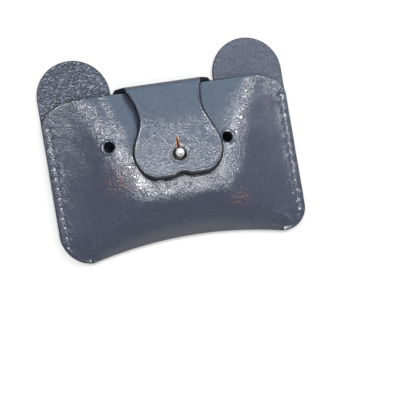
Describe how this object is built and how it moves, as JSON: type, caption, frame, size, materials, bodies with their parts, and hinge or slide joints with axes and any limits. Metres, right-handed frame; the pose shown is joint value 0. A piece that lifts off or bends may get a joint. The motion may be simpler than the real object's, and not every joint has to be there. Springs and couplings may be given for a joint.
{
  "type": "snap-flap card wallet",
  "caption": "Stitched leather card wallet with a bear's face: two ears, punched eyes and a muzzle-shaped flap that buttons on a ball stud.",
  "frame": {"origin": "middle of the footprint, on the surface that the wallet lies on", "axes": "+X towards the right-hand seam seen from the front, +Y towards the ears, +Z out of the front"},
  "size_m": [0.1, 0.081, 0.0224],
  "materials": {
    "dyed_cowhide": "blue-grey aniline-dyed grain, semi-gloss",
    "nickel_plate": "polished nickel plate",
    "zinc_plated_steel": "plain zinc plate",
    "waxed_thread": "waxed polyester thread, dark blue-grey"
  },
  "bodies": {
    "pouch": {"back_panel": "dyed_cowhide", "bottom_turn": "dyed_cowhide", "front_panel": "dyed_cowhide", "fold_strap": "dyed_cowhide", "ball_stud": "nickel_plate", "stud_screw": "zinc_plated_steel", "left_seam_thread": "waxed_thread", "right_seam_thread": "waxed_thread"},
    "flap": {"flap": "dyed_cowhide"}
  },
  "joints": [
    {"name": "flap_hinge", "type": "hinge", "parent": "pouch", "child": "flap", "pos_m": [0, 0.0251, 0.00578], "axis": [-1, 0, 0], "range_deg": [0, 165], "deforming": ["fold_strap"]}
  ]
}
